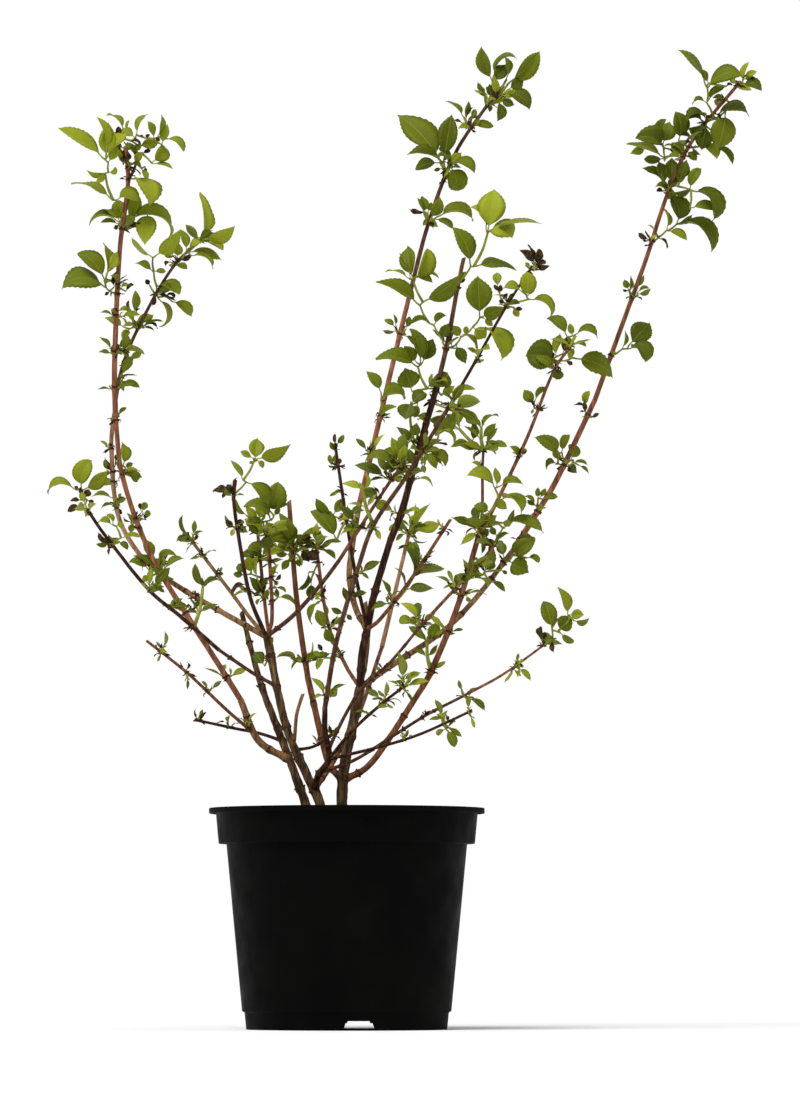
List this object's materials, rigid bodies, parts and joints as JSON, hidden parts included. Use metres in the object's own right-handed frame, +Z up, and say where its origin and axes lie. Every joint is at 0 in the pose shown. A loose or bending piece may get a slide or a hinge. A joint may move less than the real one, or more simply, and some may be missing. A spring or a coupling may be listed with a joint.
{
  "type": "potted mock orange",
  "caption": "Young mock orange shrub with an open crown of leafy arching canes, standing in a round black nursery pot filled with compost.",
  "frame": {"origin": "middle of the underside of the whole plant's bounding box, level with the pot's foot", "axes": "+Z up, +X to the right and -Y towards the viewer who faces the plant's flat side"},
  "size_m": [0.7032, 0.4268, 1.0065],
  "materials": {
    "pot": "matt black moulded plastic",
    "compost": "dark crumbly potting compost",
    "bark": "smooth red-brown bark, tan and fissured at the foot",
    "leaf": "soft, slightly glossy spring leaf on a red-brown cane"
  },
  "bodies": {
    "root": {"pot": "pot", "compost": "compost", "left_stem": "bark", "middle_stem": "bark", "right_stem": "bark", "left_cane": "bark", "whip": "bark", "dark_cane": "bark", "back_cane": "bark", "upright_cane": "bark", "back_right_cane": "bark", "right_cane": "bark", "far_right_cane": "bark", "arching_branch": "bark", "low_left_branch": "bark", "front_left_branch": "bark", "right_slender": "bark", "low_right_branch": "bark", "pruned_stub": "bark", "pruned_twig": "bark", "left_cane_leaves": "leaf", "left_crown": "leaf", "arching_leaves": "leaf", "left_side_crown": "leaf", "low_left_spray": "leaf", "left_twig": "leaf", "low_left_twig": "leaf", "tan_shoot": "leaf", "dark_shoot": "leaf", "inner_shoot": "leaf", "back_left_shoot": "leaf", "upright_cane_leaves": "leaf", "back_shoot": "leaf", "front_left_spray": "leaf", "bud_shoot": "leaf", "whip_leaves": "leaf", "whip_crown": "leaf", "dark_cane_leaves": "leaf", "dark_cane_crown": "leaf", "back_cane_leaves": "leaf", "top_crown": "leaf", "back_right_shoot": "leaf", "right_inner_shoot": "leaf", "right_slender_leaves": "leaf", "right_cane_leaves": "leaf", "right_thin_shoot": "leaf", "right_mid_crown": "leaf", "far_right_leaves": "leaf", "far_right_crown": "leaf", "low_right_spray": "leaf", "low_right_twig": "leaf", "pruned_side_branch": "leaf", "inner_twig": "leaf"}
  },
  "joints": []
}
